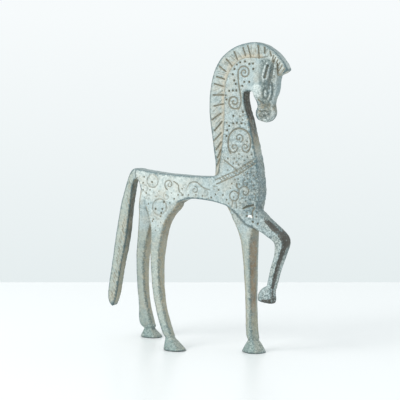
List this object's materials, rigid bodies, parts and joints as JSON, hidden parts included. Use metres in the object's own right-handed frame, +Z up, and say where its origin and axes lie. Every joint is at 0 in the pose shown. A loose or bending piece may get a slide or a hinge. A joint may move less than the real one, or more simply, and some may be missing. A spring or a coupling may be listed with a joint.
{
  "type": "bronze horse statuette",
  "caption": "Slender slab-bodied horse statuette walking with its right foreleg raised, with an arched crest, engraved scrolls and flared hooves.",
  "frame": {"origin": "centre of the bounding box in plan, on the surface that the standing hooves rest on", "axes": "+X forward, the way the horse faces; +Y to the horse's left; +Z up"},
  "size_m": [0.103, 0.0358, 0.15],
  "materials": {
    "worn_bronze": "grey-green patina rubbed pale on the flat sides",
    "mane_bronze": "pale rubbed patina with dark grooves",
    "green_bronze": "mottled blue-green patina",
    "pin_metal": "drawn rod"
  },
  "bodies": {
    "root": {"trunk": "worn_bronze", "neck": "worn_bronze", "head": "worn_bronze", "mane": "mane_bronze", "right_ear": "worn_bronze", "left_ear": "worn_bronze", "tail": "worn_bronze", "right_foreleg": "worn_bronze", "left_foreleg": "worn_bronze", "right_hind_leg": "worn_bronze", "left_hind_leg": "worn_bronze", "right_fore_hoof": "green_bronze", "left_fore_hoof": "green_bronze", "right_hind_hoof": "green_bronze", "left_hind_hoof": "green_bronze", "neck_dowels": "pin_metal", "head_dowel": "pin_metal", "mane_dowels": "pin_metal", "tail_dowel": "pin_metal", "leg_dowels": "pin_metal", "hoof_dowels": "pin_metal"}
  },
  "joints": []
}
